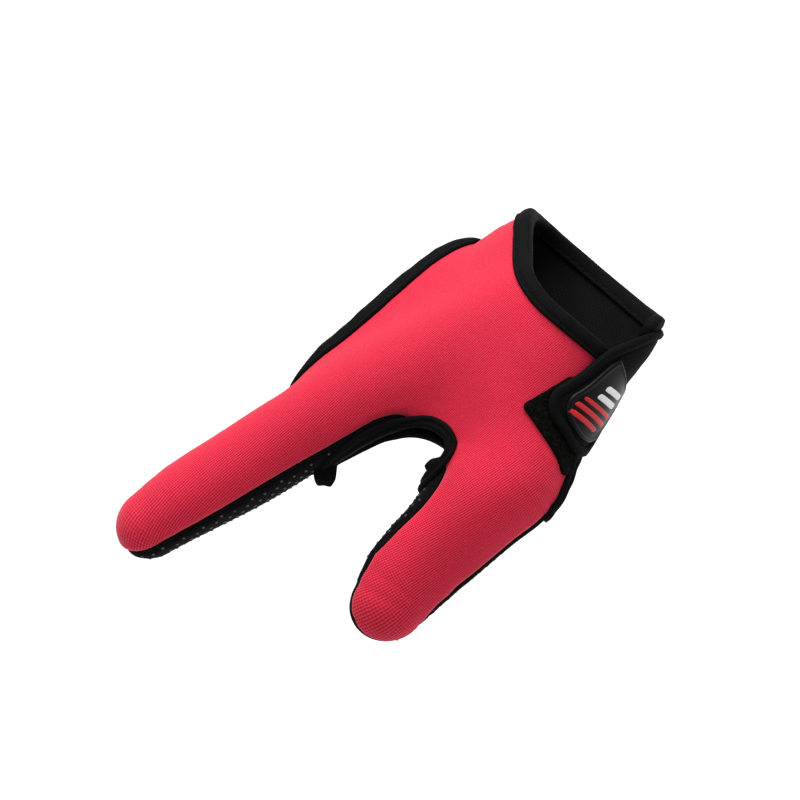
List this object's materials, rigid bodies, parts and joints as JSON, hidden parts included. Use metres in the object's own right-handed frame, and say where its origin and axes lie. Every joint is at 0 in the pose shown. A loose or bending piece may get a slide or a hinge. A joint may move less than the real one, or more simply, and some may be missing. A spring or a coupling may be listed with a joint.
{
  "type": "two-finger fishing glove",
  "caption": "Right-hand fishing glove for thumb and index finger, red neoprene back, black grip palm, folded tape edges and a wrist strap, in its worn shape.",
  "frame": {"origin": "centre of the wrist opening", "axes": "-X towards the fingertips, -Y towards the thumb side, +Z out of the back of the hand"},
  "size_m": [0.1838, 0.1178, 0.0679],
  "materials": {
    "back_fabric": "matte",
    "palm_fabric": "matte",
    "tape": "matte",
    "strap": "matte",
    "hook": "matte",
    "badge": "satin",
    "mark_red": "satin",
    "mark_white": "satin"
  },
  "bodies": {
    "root": {"back_panel": "back_fabric", "palm_panel": "palm_fabric", "finger_binding_back": "tape", "finger_binding_palm": "tape", "web_binding_back": "tape", "web_binding_palm": "tape", "wrist_binding_back": "tape", "wrist_binding_palm": "tape", "wrist_strap": "strap", "strap_binding": "tape", "hook_tab": "hook", "badge": "badge", "badge_slash_1": "mark_red", "badge_slash_2": "mark_red", "badge_slash_3": "mark_red", "badge_bar_1": "mark_white", "badge_bar_2": "mark_white", "index_tape_end": "tape", "thumb_tape_end": "tape", "ulnar_tape_end": "tape"}
  },
  "joints": []
}
